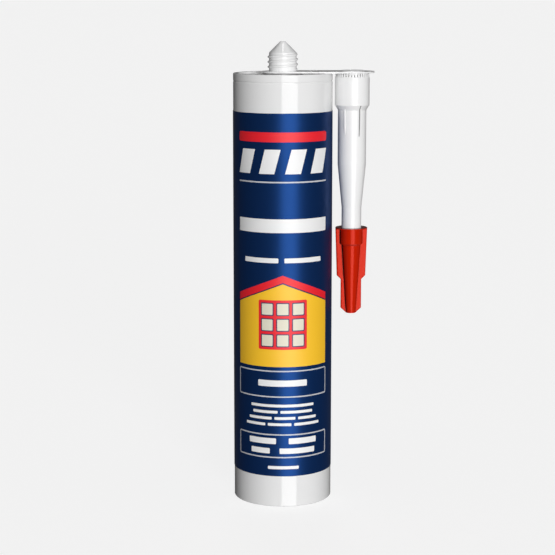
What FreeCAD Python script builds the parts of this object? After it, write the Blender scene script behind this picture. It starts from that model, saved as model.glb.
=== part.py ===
import FreeCAD, Part
import math
import os
import Sketcher

# A sealant cartridge that stands on its open rear end, with its nozzle parked beside it.
# The frame has its origin at the middle of the base, +Z up along the barrel,
# and +X towards the parked nozzle. All sizes are in millimetres.

SIZES = [
    # Barrel: a plain moulded tube with a closed head and an open rear end.
    ("barrel_radius", 24.8),
    ("barrel_length", 216.8),
    ("barrel_wall", 1.5),
    ("mouth_wall", 1.25),
    ("mouth_depth", 8.0),
    ("edge_break", 0.4),
    ("groove_below_rim", 3.45),
    ("groove_width", 0.9),
    ("groove_depth", 0.25),
    ("rim_width", 2.2),
    ("rim_height", 1.3),
    ("head_thickness", 2.0),
    ("head_corner", 1.5),
    # Neck: a seat for the holder, a threaded stem and a closed cone that is cut off before use.
    ("boss_radius", 10.2),
    ("seat_radius", 7.0),
    ("stem_radius", 6.85),
    ("stem_height", 10.0),
    ("cone_height", 5.5),
    ("tip_radius", 1.3),
    ("neck_bore", 5.2),
    ("tip_wall", 1.2),
    ("tip_rib_width", 0.8),
    ("tip_rib_height", 0.25),
    ("root_overlap", 0.3),
    # Thread: one right-handed ridge round the stem, and its groove in the nozzle.
    ("thread_pitch", 2.5),
    ("thread_height", 0.7),
    ("thread_root_width", 1.5),
    ("thread_crest_width", 0.45),
    ("thread_start", 1.65),
    ("thread_turns", 3.0),
    ("thread_clearance", 0.2),
    # Printed label round the barrel.
    ("label_thickness", 0.12),
    ("label_bottom", 15.9),
    ("label_below_rim", 18.6),
    ("label_seam", 0.4),
    ("glue_gap", 0.05),
    # Piston and the sealant in front of it.
    ("piston_inset", 10.0),
    ("piston_height", 20.0),
    ("piston_wall", 1.6),
    ("piston_crown", 2.2),
    ("piston_lip", 1.2),
    ("piston_lip_reach", 0.68),
    ("piston_hub", 5.5),
    ("piston_rib_width", 1.2),
    ("piston_rib_height", 3.0),
    ("piston_ribs", 8),
    ("sliding_gap", 0.12),
    ("fill_gap", 0.15),
    # Holder: a flat strap that grips the neck and carries the nozzle mouth up.
    ("hanging_gap", 1.25),
    ("strap_thickness", 0.75),
    ("strap_neck_end", 10.6),
    ("strap_nozzle_end", 11.0),
    ("strap_gap", 0.1),
    ("swivel_gap", 0.15),
    ("score_width", 0.5),
    ("score_depth", 0.22),
    ("button_radius", 6.3),
    ("button_height", 0.45),
    ("plug_length", 5.0),
    ("plug_wall", 1.2),
    ("plug_fit", 0.15),
    ("plug_lead", 0.4),
    # Nozzle: threaded collar, body and long tip.
    ("collar_radius", 8.65),
    ("collar_length", 15.9),
    ("crown_radius", 8.42),
    ("crown_height", 1.4),
    ("tooth_depth", 0.35),
    ("tooth_gap", 0.75),
    ("teeth", 36),
    ("collar_slope", 2.5),
    ("body_radius", 7.1),
    ("body_end", 45.5),
    ("taper_end", 67.4),
    ("spigot_radius", 4.95),
    ("spigot_end", 84.9),
    ("spout_radius", 3.7),
    ("nozzle_length", 117.0),
    ("outlet_radius", 1.75),
    ("nozzle_wall", 0.95),
    ("outlet_bore", 0.9),
    ("thread_depth", 9.0),
    ("nozzle_rib_angle", 33),
    ("nozzle_rib_width", 0.9),
    ("nozzle_rib_height", 0.45),
    ("nozzle_rib_end", 31.0),
    # Cap: a tapered blind tube with a flange and two flat grip wings.
    ("cap_mouth", 77.6),
    ("cap_end_wall", 4.2),
    ("flange_radius", 8.05),
    ("flange_thickness", 0.6),
    ("socket_radius", 5.6),
    ("socket_length", 8.1),
    ("sleeve_radius", 4.55),
    ("cap_end_radius", 2.4),
    ("cap_fit", 0.1),
    ("cap_end_gap", 0.3),
    ("wing_thickness", 1.4),
    ("wing_bottom_half", 7.25),
    ("wing_shoulder", 24.6),
    ("wing_low_half", 5.22),
    ("wing_low_rise", 2.6),
    ("wing_edge", 0.35),
]

# Places that several pieces share, worked out from the sizes.
MOUTH_RADIUS = "(barrel_radius-mouth_wall)"
NOZZLE_OFFSET = "(barrel_radius+hanging_gap+collar_radius)"
CAP_LENGTH = "(nozzle_length+cap_end_gap+cap_end_wall-cap_mouth)"

doc = FreeCAD.newDocument("sealant_cartridge")
sheet = doc.addObject("Spreadsheet::Sheet", "Sizes")
for row, (alias, value) in enumerate(SIZES, start=1):
    sheet.set("A" + str(row), alias)
    sheet.set("B" + str(row), str(value))
    sheet.setAlias("B" + str(row), alias)
doc.recompute()

ALIASES = {alias for alias, value in SIZES}
FULL_TURN = 360.0
SAME = 1e-4


def bound(text):
    """Turn a formula of size names into one that reads them from the sheet."""
    words = []
    word = ""
    for letter in text + " ":
        if letter.isalnum() or letter == "_":
            word += letter
            continue
        words.append("Sizes." + word if word in ALIASES else word)
        words.append(letter)
        word = ""
    return "".join(words).strip()


def size(text):
    """Give the present value of a formula of size names."""
    return float(sheet.evalExpression(bound(text)))


def bind(thing, prop, text):
    """Tie a property to a formula of size names."""
    thing.setExpression(prop, bound(text))


def new_body(label):
    body = doc.addObject("PartDesign::Body", label)
    body.Label = label
    return body


def origin_part(body, role):
    """Find a plane or axis of the body's own origin."""
    return next(part for part in body.Origin.OriginFeatures if part.Role == role)


def arc_between(start, end, radius, way):
    """Make the short arc from start to end, way 1 for anticlockwise and -1 for clockwise."""
    chord = end - start
    half = chord.Length / 2
    rise = math.sqrt(max(radius * radius - half * half, 0.0))
    side = FreeCAD.Vector(-chord.y, chord.x, 0).normalize() * rise * way
    centre = start + chord * 0.5 + side
    first = math.atan2(start.y - centre.y, start.x - centre.x)
    last = math.atan2(end.y - centre.y, end.x - centre.x)
    if way < 0:
        first, last = last, first
    if last < first:
        last += 2 * math.pi
    circle = Part.Circle(centre, FreeCAD.Vector(0, 0, 1), radius)
    return Part.ArcOfCircle(circle, first, last)


def tie_point(sketch, edge, end, across, up):
    """Hold one end of an edge at a place given by two formulas."""
    for kind, text, axis in (("DistanceX", across, -2), ("DistanceY", up, -1)):
        if text == "0":
            sketch.addConstraint(Sketcher.Constraint("PointOnObject", edge, end, axis))
            continue
        held = Sketcher.Constraint(kind, -1, 1, edge, end, size(text))
        number = sketch.addConstraint(held)
        bind(sketch, "Constraints[" + str(number) + "]", text)


def outline(body, name, role, corners, lift=None, turn=None):
    """Draw a closed outline whose corners are tied to formulas of the sizes.

    A corner is (across, up), or (across, up, radius, way) when an arc leads to
    it from the corner before. The plane can be lifted along its normal by a
    formula, or turned about its upright axis by another.
    """
    sketch = body.newObject("Sketcher::SketchObject", name)
    sketch.AttachmentSupport = [(origin_part(body, role), "")]
    sketch.MapMode = "FlatFace"
    if lift is not None:
        bind(sketch, ".AttachmentOffset.Base.z", lift)
    if turn is not None:
        sketch.AttachmentOffset.Rotation = FreeCAD.Rotation(FreeCAD.Vector(0, 1, 0), size(turn))
        bind(sketch, ".AttachmentOffset.Rotation.Angle", turn)
    places = [FreeCAD.Vector(size(corner[0]), size(corner[1]), 0) for corner in corners]
    ends = []
    for index, place in enumerate(places):
        corner = corners[(index + 1) % len(corners)]
        goal = places[(index + 1) % len(places)]
        if len(corner) == 2:
            sketch.addGeometry(Part.LineSegment(place, goal), False)
            ends.append((1, 2))
        else:
            sketch.addGeometry(arc_between(place, goal, size(corner[2]), corner[3]), False)
            ends.append((1, 2) if corner[3] > 0 else (2, 1))
    for index, corner in enumerate(corners):
        before = index - 1 if index else len(corners) - 1
        joint = Sketcher.Constraint("Coincident", before, ends[before][1], index, ends[index][0])
        sketch.addConstraint(joint)
        tie_point(sketch, index, ends[index][0], corner[0], corner[1])
        if len(corner) > 2:
            radius = Sketcher.Constraint("Radius", before, size(corner[2]))
            number = sketch.addConstraint(radius)
            bind(sketch, "Constraints[" + str(number) + "]", corner[2])
    return sketch


def turned(body, kind, name, sketch):
    """Revolve an outline about the body's upright axis, to add or to cut."""
    feature = body.newObject("PartDesign::" + kind, name)
    feature.Profile = sketch
    feature.ReferenceAxis = (sketch, ["V_Axis"])
    feature.Angle = FULL_TURN
    sketch.Visibility = False
    return feature


def pushed(body, kind, name, sketch, length, middle=False, back=False):
    """Push an outline along its normal by a formula, to add or to cut."""
    feature = body.newObject("PartDesign::" + kind, name)
    feature.Profile = sketch
    feature.SideType = "Symmetric" if middle else "One side"
    feature.Reversed = back
    bind(feature, "Length", length)
    sketch.Visibility = False
    return feature


def wound(body, kind, name, sketch, pitch, turns):
    """Wind an outline up the body's upright axis as a right-handed helix."""
    feature = body.newObject("PartDesign::" + kind, name)
    feature.Profile = sketch
    feature.ReferenceAxis = (sketch, ["V_Axis"])
    feature.Mode = "pitch-turns-angle"
    bind(feature, "Pitch", pitch)
    bind(feature, "Turns", turns)
    sketch.Visibility = False
    return feature


def repeated(body, name, features, count):
    """Repeat features evenly round the body's upright axis."""
    pattern = body.newObject("PartDesign::PolarPattern", name)
    pattern.Originals = features
    pattern.Axis = (origin_part(body, "Z_Axis"), [""])
    pattern.Angle = FULL_TURN
    bind(pattern, "Occurrences", count)
    body.Tip = pattern
    return pattern


def make_barrel():
    """Tube, recessed head, neck and closed cone, moulded as one piece."""
    body = new_body("cartridge_barrel")
    bore = "(barrel_radius-barrel_wall)"
    head = "(barrel_length-rim_height)"
    under = "(barrel_length-rim_height-head_thickness)"
    groove = "(barrel_length-groove_below_rim)"
    seat = "(barrel_length+strap_gap+strap_thickness)"
    shoulder = "(barrel_length+stem_height)"
    tip = shoulder + "+cone_height"
    outer = "barrel_radius"
    corners = [
        (MOUTH_RADIUS, "0"),
        (outer + "-edge_break", "0"),
        (outer, "edge_break"),
        (outer, groove + "-groove_width"),
        (outer + "-groove_depth", groove + "-groove_width/2"),
        (outer, groove),
        (outer, "barrel_length-edge_break"),
        (outer + "-edge_break", "barrel_length"),
        (outer + "-rim_width", "barrel_length"),
        (outer + "-rim_width", head),
        ("boss_radius", head),
        ("boss_radius", "barrel_length"),
        ("seat_radius", "barrel_length"),
        ("seat_radius", seat),
        ("stem_radius", seat),
        ("stem_radius", shoulder),
        ("tip_radius", tip),
        ("0", tip),
        ("0", tip + "-tip_wall"),
        ("neck_bore", shoulder + "-tip_wall"),
        ("neck_bore", under),
        (bore + "-head_corner", under),
        (bore, under + "-head_corner"),
        (bore, "mouth_depth"),
        (MOUTH_RADIUS, "mouth_depth-edge_break"),
    ]
    turned(body, "Revolution", "Shell", outline(body, "ShellOutline", "XZ_Plane", corners))
    inner = "stem_radius-root_overlap"
    start = "(barrel_length+thread_start)"
    crest = "stem_radius+thread_height"
    ridge = [
        (inner, start + "-thread_root_width/2"),
        ("stem_radius", start + "-thread_root_width/2"),
        (crest, start + "-thread_crest_width/2"),
        (crest, start + "+thread_crest_width/2"),
        ("stem_radius", start + "+thread_root_width/2"),
        (inner, start + "+thread_root_width/2"),
    ]
    sketch = outline(body, "ThreadOutline", "XZ_Plane", ridge)
    wound(body, "AdditiveHelix", "Thread", sketch, "thread_pitch", "thread_turns")
    half = "(stem_radius+tip_rib_height)"
    blade = [
        ("-" + half, shoulder),
        (half, shoulder),
        ("tip_radius+tip_rib_height", tip),
        ("-(tip_radius+tip_rib_height)", tip),
    ]
    sketch = outline(body, "TipRibOutline", "YZ_Plane", blade)
    pushed(body, "Pad", "TipRib", sketch, "tip_rib_width", middle=True)
    return body


def make_label():
    """Film wrapped once round the barrel, its ends apart by a narrow seam at the back."""
    body = new_body("printed_label")
    inside = "barrel_radius+glue_gap"
    outside = inside + "+label_thickness"
    top = "(barrel_length-label_below_rim)"
    corners = [
        (inside, "label_bottom"),
        (outside, "label_bottom"),
        (outside, top),
        (inside, top),
    ]
    turned(body, "Revolution", "Film", outline(body, "FilmOutline", "XZ_Plane", corners))
    slit = [
        ("-label_seam/2", "barrel_radius/2"),
        ("label_seam/2", "barrel_radius/2"),
        ("label_seam/2", "barrel_radius*2"),
        ("-label_seam/2", "barrel_radius*2"),
    ]
    sketch = outline(body, "SeamOutline", "XY_Plane", slit, lift="label_bottom")
    pushed(body, "Pocket", "Seam", sketch, top + "-label_bottom", back=True)
    return body


def make_sealant():
    """Sealant that fills the barrel between the piston and the head."""
    body = new_body("sealant_fill")
    radius = "barrel_radius-barrel_wall-fill_gap"
    top = "barrel_length-rim_height-head_thickness-fill_gap"
    bottom = "piston_inset+piston_height+fill_gap"
    corners = [
        ("0", bottom),
        (radius, bottom),
        (radius, top + "-head_corner"),
        (radius + "-head_corner", top),
        ("0", top),
    ]
    turned(body, "Revolution", "Fill", outline(body, "FillOutline", "XZ_Plane", corners))
    return body


def make_piston():
    """Soft cup with two wiping lips, ribbed under its crown, open to the rear."""
    body = new_body("piston")
    lip = "(barrel_radius-barrel_wall-sliding_gap)"
    foot = "piston_inset"
    top = "(piston_inset+piston_height)"
    skirt = lip + "-piston_lip_reach"
    inner = skirt + "-piston_wall"
    roof = top + "-piston_crown"
    corners = [
        (inner, foot),
        (lip, foot),
        (skirt, foot + "+piston_lip"),
        (skirt, top + "-piston_lip"),
        (lip, top),
        ("0", top),
        ("0", roof + "-piston_rib_height"),
        ("piston_hub", roof + "-piston_rib_height"),
        ("piston_hub", roof),
        (inner, roof),
    ]
    turned(body, "Revolution", "Cup", outline(body, "CupOutline", "XZ_Plane", corners))
    rib = [
        ("piston_hub/2", roof + "-piston_rib_height"),
        (skirt + "-piston_wall/2", roof + "-piston_rib_height"),
        (skirt + "-piston_wall/2", roof + "+piston_crown/2"),
        ("piston_hub/2", roof + "+piston_crown/2"),
    ]
    sketch = outline(body, "RibOutline", "XZ_Plane", rib)
    first = pushed(body, "Pad", "Rib", sketch, "piston_rib_width", middle=True)
    repeated(body, "Ribs", [first], "piston_ribs")
    return body


def make_holder():
    """Flat strap that grips the neck, with a stub that plugs the nozzle's mouth."""
    body = new_body("nozzle_holder")
    bind(body, ".Placement.Base.x", NOZZLE_OFFSET)
    bind(body, ".Placement.Base.z", "barrel_length+strap_gap")
    near = "strap_neck_end"
    far = "strap_nozzle_end"
    neck = "-" + NOZZLE_OFFSET
    lean = "((" + far + "-" + near + ")/" + NOZZLE_OFFSET + ")"
    rise = "*sqrt(1-" + lean + "^2)"
    near_x = neck + "-" + near + "*" + lean
    far_x = "-" + far + "*" + lean
    strap = [
        (far_x, "-" + far + rise),
        (far, "0", far, 1),
        (far_x, far + rise, far, 1),
        (near_x, near + rise),
        (neck + "-" + near, "0", near, 1),
        (near_x, "-" + near + rise, near, 1),
    ]
    sketch = outline(body, "StrapOutline", "XY_Plane", strap)
    pushed(body, "Pad", "Strap", sketch, "strap_thickness")
    surface = "strap_thickness"
    button = [
        ("0", surface + "/2"),
        ("button_radius", surface + "/2"),
        ("button_radius", surface),
        ("button_radius-button_height", surface + "+button_height"),
        ("0", surface + "+button_height"),
    ]
    turned(body, "Revolution", "Button", outline(body, "ButtonOutline", "XZ_Plane", button))
    outer = "(stem_radius+thread_clearance-plug_fit)"
    plug = [
        (outer + "-plug_wall", "-plug_length"),
        (outer + "-plug_lead", "-plug_length"),
        (outer, "plug_lead-plug_length"),
        (outer, surface + "/2"),
        (outer + "-plug_wall", surface + "/2"),
    ]
    turned(body, "Revolution", "Plug", outline(body, "PlugOutline", "XZ_Plane", plug))
    for name, face, way in (("ScoreTop", surface, "-"), ("ScoreBelow", "0", "+")):
        notch = [
            (neck + "/2-score_width/2", face),
            (neck + "/2", face + way + "score_depth"),
            (neck + "/2+score_width/2", face),
        ]
        sketch = outline(body, name + "Outline", "XZ_Plane", notch)
        pushed(body, "Pocket", name, sketch, far + "*3", middle=True)
    eye = "(seat_radius+swivel_gap)"
    hole = [
        (neck + "+" + eye, "0", eye, 1),
        (neck + "-" + eye, "0", eye, 1),
    ]
    sketch = outline(body, "EyeOutline", "XY_Plane", hole)
    pushed(body, "Pocket", "Eye", sketch, surface, back=True)
    return body


def make_nozzle():
    """Long tapered nozzle, hung mouth up, with a threaded collar and a toothed crown."""
    body = new_body("nozzle")
    bind(body, ".Placement.Base.x", NOZZLE_OFFSET)
    bind(body, ".Placement.Base.z", "barrel_length")
    slope_end = "(collar_length+collar_slope)"
    spout_start = "(spigot_end+spigot_radius-spout_radius)"
    bore = "(stem_radius+thread_clearance)"
    wall = "-nozzle_wall"
    corners = [
        (bore, "-edge_break"),
        (bore + "+edge_break/2", "0"),
        ("crown_radius", "0"),
        ("crown_radius", "-crown_height"),
        ("collar_radius", "-crown_height"),
        ("collar_radius", "-collar_length"),
        ("body_radius", "-" + slope_end),
        ("body_radius", "-body_end"),
        ("spigot_radius", "-taper_end"),
        ("spigot_radius", "-spigot_end"),
        ("spout_radius", "-" + spout_start),
        ("outlet_radius", "-nozzle_length"),
        ("outlet_bore", "-nozzle_length"),
        ("spout_radius" + wall, "-spigot_end"),
        ("spigot_radius" + wall, "-spigot_end"),
        ("spigot_radius" + wall, "spigot_radius-body_radius-body_end"),
        ("body_radius" + wall, "-body_end"),
        ("body_radius" + wall, "-collar_length"),
        (bore, "-collar_length"),
    ]
    turned(body, "Revolution", "Shell", outline(body, "ShellOutline", "XZ_Plane", corners))
    root = "stem_radius+thread_height+thread_clearance"
    inner = bore + "-root_overlap"
    low = "-thread_depth"
    root_half = "(thread_crest_width/2+thread_clearance/2)"
    mouth_half = "(thread_root_width/2+thread_clearance/2)"
    middle = low + "+" + mouth_half
    groove = [
        (inner, middle + "-" + mouth_half),
        (bore, middle + "-" + mouth_half),
        (root, middle + "-" + root_half),
        (root, middle + "+" + root_half),
        (bore, middle + "+" + mouth_half),
        (inner, middle + "+" + mouth_half),
    ]
    sketch = outline(body, "ThreadOutline", "XZ_Plane", groove)
    turns = "thread_depth/thread_pitch+0.25"
    wound(body, "SubtractiveHelix", "Thread", sketch, "thread_pitch", turns)
    ribs = []
    rib = [
        ("body_radius" + wall + "/2", "-collar_length"),
        ("body_radius+nozzle_rib_height", "-collar_length"),
        ("body_radius+nozzle_rib_height", "collar_slope*2-nozzle_rib_end"),
        ("body_radius", "-nozzle_rib_end"),
        ("body_radius" + wall + "/2", "-nozzle_rib_end"),
    ]
    for name, angle in (("RibLeft", "-90-nozzle_rib_angle"), ("RibRight", "nozzle_rib_angle-90")):
        sketch = outline(body, name + "Outline", "XZ_Plane", rib, turn=angle)
        ribs.append(pushed(body, "Pad", name, sketch, "nozzle_rib_width", middle=True))
    repeated(body, "Ribs", ribs, "2")
    gap = [
        ("crown_radius-tooth_depth", "-tooth_gap/4"),
        ("collar_radius", "-tooth_gap/2"),
        ("collar_radius", "tooth_gap/2"),
        ("crown_radius-tooth_depth", "tooth_gap/4"),
    ]
    sketch = outline(body, "ToothGapOutline", "XY_Plane", gap)
    cut = pushed(body, "Pocket", "ToothGap", sketch, "crown_height")
    repeated(body, "Teeth", [cut], "teeth")
    return body


def outer_edges(shape):
    """Name the straight edges round a plate's two faces, apart from its top."""
    names = []
    for number, edge in enumerate(shape.Edges, start=1):
        box = edge.BoundBox
        if box.YLength < SAME and box.ZMax < shape.BoundBox.ZMax - SAME or box.XLength < SAME < box.ZLength:
            names.append("Edge" + str(number))
    return names


def make_cap():
    """Blind tapered cap with a flange round its mouth and two flat wings to grip."""
    body = new_body("nozzle_cap")
    bind(body, ".Placement.Base.x", NOZZLE_OFFSET)
    bind(body, ".Placement.Base.z", "barrel_length-cap_mouth")
    end = "-" + CAP_LENGTH
    low_end = "wing_low_rise-" + CAP_LENGTH
    wings = [
        ("-flange_radius", "0"),
        ("-wing_bottom_half", "-wing_shoulder"),
        ("-wing_low_half", "wing_low_half-wing_bottom_half-wing_shoulder"),
        ("-wing_low_half", low_end),
        ("-cap_end_radius", end),
        ("cap_end_radius", end),
        ("wing_low_half", low_end),
        ("wing_low_half", "wing_low_half-wing_bottom_half-wing_shoulder"),
        ("wing_bottom_half", "-wing_shoulder"),
        ("flange_radius", "0"),
    ]
    sketch = outline(body, "WingOutline", "XZ_Plane", wings)
    plate = pushed(body, "Pad", "Wings", sketch, "wing_thickness", middle=True)
    doc.recompute()
    edges = body.newObject("PartDesign::Chamfer", "WingEdges")
    edges.Base = (plate, outer_edges(plate.Shape))
    bind(edges, "Size", "wing_edge")
    socket_end = "(socket_length+socket_radius-sleeve_radius)"
    corners = [
        ("0", "0"),
        ("flange_radius", "0"),
        ("flange_radius", "-flange_thickness"),
        ("socket_radius", "-flange_thickness"),
        ("socket_radius", "-socket_length"),
        ("sleeve_radius", "-" + socket_end),
        ("cap_end_radius", end),
        ("0", end),
    ]
    turned(body, "Revolution", "Tube", outline(body, "TubeOutline", "XZ_Plane", corners))
    spout_start = "(cap_mouth+spout_radius-spigot_radius-spigot_end-cap_fit)"
    bottom = "(cap_mouth-nozzle_length-cap_end_gap)"
    bore = [
        ("0", "0"),
        ("spigot_radius+cap_fit", "0"),
        ("spigot_radius+cap_fit", "cap_mouth-spigot_end-cap_fit"),
        ("spout_radius+cap_fit", spout_start),
        ("outlet_radius+cap_fit", bottom),
        ("0", bottom),
    ]
    turned(body, "Groove", "Bore", outline(body, "BoreOutline", "XZ_Plane", bore))
    return body


for make in (make_barrel, make_label, make_sealant, make_piston, make_holder, make_nozzle, make_cap):
    make()
doc.recompute()

for thing in doc.Objects:
    if "Invalid" in thing.State or "Error" in thing.State:
        raise RuntimeError(thing.Name + ": " + thing.getStatusString())

os.makedirs("parts", exist_ok=True)
for body in doc.findObjects("PartDesign::Body"):
    shape = body.Shape
    if shape.isNull() or not shape.isValid() or len(shape.Solids) != 1:
        raise RuntimeError(body.Label + " is not one sound solid")
    shape.exportStep(os.path.join("parts", body.Label + ".step"))
    print(body.Label, round(shape.Volume, 1), "cubic millimetres")
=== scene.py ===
# %% [markdown]
# # A sealant cartridge with its nozzle parked beside it
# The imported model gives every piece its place, in metres, with +Z up and the
# origin in the middle of the base. This file keeps those places and gives the
# pieces their finish: the moulded white shell with its thread, the printed
# label, the toothed nozzle and the winged red cap.

# %% Load the fixed frame
import math

import bpy
import numpy as np
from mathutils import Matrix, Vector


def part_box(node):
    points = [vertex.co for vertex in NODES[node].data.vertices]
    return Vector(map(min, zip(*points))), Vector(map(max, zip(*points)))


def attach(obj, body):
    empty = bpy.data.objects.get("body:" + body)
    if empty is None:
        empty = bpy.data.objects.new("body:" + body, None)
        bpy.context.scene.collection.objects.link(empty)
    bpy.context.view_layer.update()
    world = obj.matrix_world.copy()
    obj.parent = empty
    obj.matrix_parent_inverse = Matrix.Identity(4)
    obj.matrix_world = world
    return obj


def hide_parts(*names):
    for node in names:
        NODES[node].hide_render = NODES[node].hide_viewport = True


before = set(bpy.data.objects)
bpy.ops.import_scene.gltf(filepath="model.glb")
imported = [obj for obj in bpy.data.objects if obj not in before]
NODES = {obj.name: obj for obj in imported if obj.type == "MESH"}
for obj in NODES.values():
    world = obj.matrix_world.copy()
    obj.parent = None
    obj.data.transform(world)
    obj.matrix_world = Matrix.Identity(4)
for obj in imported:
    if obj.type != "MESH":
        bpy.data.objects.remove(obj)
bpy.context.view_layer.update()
MM = 0.001
TURN = 2 * math.pi

# %% [markdown]
# ## Sizes
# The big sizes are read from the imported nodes, so that nothing is fitted by
# hand. The small ones, such as fillets, repeat what the moulded pieces have.

# %% Places read from the frame
barrel_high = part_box("cartridge_barrel")[1]
nozzle_low, nozzle_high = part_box("nozzle")
cap_low, cap_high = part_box("nozzle_cap")
label_low, label_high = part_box("printed_label")

BARREL_RADIUS = barrel_high.x
TIP_HEIGHT = barrel_high.z
RIM_HEIGHT = nozzle_high.z
NOZZLE_X = (nozzle_low.x + nozzle_high.x) / 2
STRAP_THICKNESS = 0.75 * MM
STRAP_GAP = 0.1 * MM
STRAP_TOP = RIM_HEIGHT + STRAP_GAP + STRAP_THICKNESS
LABEL_RADIUS = label_high.x
print("barrel radius", round(BARREL_RADIUS / MM, 2), "mm")
print("nozzle axis at", round(NOZZLE_X / MM, 2), "mm")

# %% [markdown]
# ## One way to make every turned surface
# Nearly every piece here is moulded on a round core, so its skin is a grid:
# one direction runs along a half section, the other runs round the axis. The
# half section is a short list of corners, each with a fillet radius, and the
# grid becomes a mesh in one call. The order of the corners, up on the outside
# and down on the inside, makes all the faces look outwards.

# %% Half sections with rounded corners
def rounded_section(corners, steps=4):
    """Follow the corners (radius, height, fillet) and replace each filleted one by an arc.

    The arc touches both sides at a distance of fillet times the tangent of
    half the turn, and its points lie evenly in angle about its centre.
    """
    spots = np.array([corner[:2] for corner in corners], float)
    fillets = [corner[2] for corner in corners[1:-1]]
    path = [spots[:1]]
    for before, here, after, fillet in zip(spots, spots[1:], spots[2:], fillets):
        back = (before - here) / np.linalg.norm(before - here)
        ahead = (after - here) / np.linalg.norm(after - here)
        opening = math.acos(max(-1.0, min(1.0, float(back @ ahead))))
        if fillet == 0 or opening > math.pi - 1e-3:
            path.append(here[None])
            continue
        reach = fillet / math.tan(opening / 2)
        middle = (back + ahead) / np.linalg.norm(back + ahead)
        centre = here + middle * fillet / math.sin(opening / 2)
        first = here + back * reach - centre
        last = here + ahead * reach - centre
        share = np.linspace(0, 1, steps + 1)[:, None]
        sweep = math.pi - opening
        arc = (first * np.sin((1 - share) * sweep) + last * np.sin(share * sweep)) / math.sin(sweep)
        path.append(centre + arc)
    path.append(spots[-1:])
    return np.concatenate(path)


def refined(path, low, high, nearest, farthest, step):
    """Add points, a step apart, where the half section runs between two heights and two radii."""
    out = [path[:1]]
    for start, end in zip(path, path[1:]):
        radius = (start[0] + end[0]) / 2
        level = min(start[1], end[1]) < high and max(start[1], end[1]) > low
        inside = level and nearest < radius < farthest
        count = max(1, math.ceil(np.linalg.norm(end - start) / step)) if inside else 1
        share = np.linspace(0, 1, count + 1)[1:, None]
        out.append(start + (end - start) * share)
    return np.concatenate(out)


# %% Grids become meshes
def new_piece(name, points, faces, body):
    """Put arrays of points and faces into a mesh that rides on a body."""
    mesh = bpy.data.meshes.new(name)
    mesh.from_pydata(points.tolist(), [], faces)
    mesh.validate()
    mesh.update()
    piece = bpy.data.objects.new(name, mesh)
    bpy.context.scene.collection.objects.link(piece)
    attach(piece, body)
    print(name, len(mesh.polygons), "faces")
    return piece


def grid_faces(rows, columns):
    """List the quads of a grid that closes on itself round its columns."""
    row = np.arange(rows - 1)[:, None] * columns
    column = np.arange(columns)[None, :]
    beside = (column + 1) % columns
    above = row + columns
    quads = np.stack([row + column, row + beside, above + beside, above + column], axis=-1)
    return quads.reshape(-1, 4).tolist()


def pole_faces(columns, ring, pole, upwards):
    """Close one end of a grid with triangles that meet in a single point."""
    here = ring + np.arange(columns)
    beside = ring + (np.arange(columns) + 1) % columns
    pair = (beside, here) if upwards else (here, beside)
    tip = np.full(columns, pole)
    return np.stack([tip, *pair], axis=-1).tolist()


def closed_skin(name, grid, start, end, body):
    """Make a skin from a grid of rings, closed by one point before it and one after it."""
    rows, columns = grid.shape[:2]
    points = np.concatenate([grid.reshape(-1, 3), [start, end]])
    count = rows * columns
    faces = grid_faces(rows, columns)
    faces += pole_faces(columns, 0, count, True)
    faces += pole_faces(columns, count - columns, count + 1, False)
    return new_piece(name, points, faces, body)


def ring_skin(name, grid, body):
    """Make a skin from a grid of rings whose last ring joins the first, as round a tube's wall."""
    rows, columns = grid.shape[:2]
    faces = np.array(grid_faces(rows + 1, columns)) % (rows * columns)
    return new_piece(name, grid.reshape(-1, 3), faces.tolist(), body)


def smooth(piece, angle=35):
    """Shade round faces smoothly and leave the corners sharper than an angle in degrees."""
    piece.data.shade_smooth()
    bpy.context.view_layer.objects.active = piece
    piece.select_set(True)
    bpy.ops.object.shade_smooth_by_angle(angle=math.radians(angle))
    piece.select_set(False)


def store_painted_shade(piece, depth):
    """Store painted shade, given as depth from 0 to 1, at each point: how far the materials darken
    its colour.
    """
    values = np.zeros(len(piece.data.vertices))
    values[:depth.size] = depth.ravel()
    piece.data.attributes.new("painted_shade", "FLOAT", "POINT").data.foreach_set("value", values)


def eased(value):
    """Ease from 0 to 1 with no corner at either end: three squares less two cubes."""
    value = np.clip(value, 0.0, 1.0)
    return value * value * (3 - 2 * value)


# %% [markdown]
# ## Effects that several materials share
# New plastic is never quite even. It has a faint grain from the mould, slow
# changes in gloss, and lines left as it is drawn off the core. One node group
# gives all three as a colour, a roughness and a height, and each material
# sets its own amounts.

# %% The moulded skin group
def add_socket(group, name, kind, way, value=None):
    """Give a node group one named input or output."""
    socket = group.interface.new_socket(name=name, in_out=way, socket_type=kind)
    if value is not None:
        socket.default_value = value
    return socket


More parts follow.
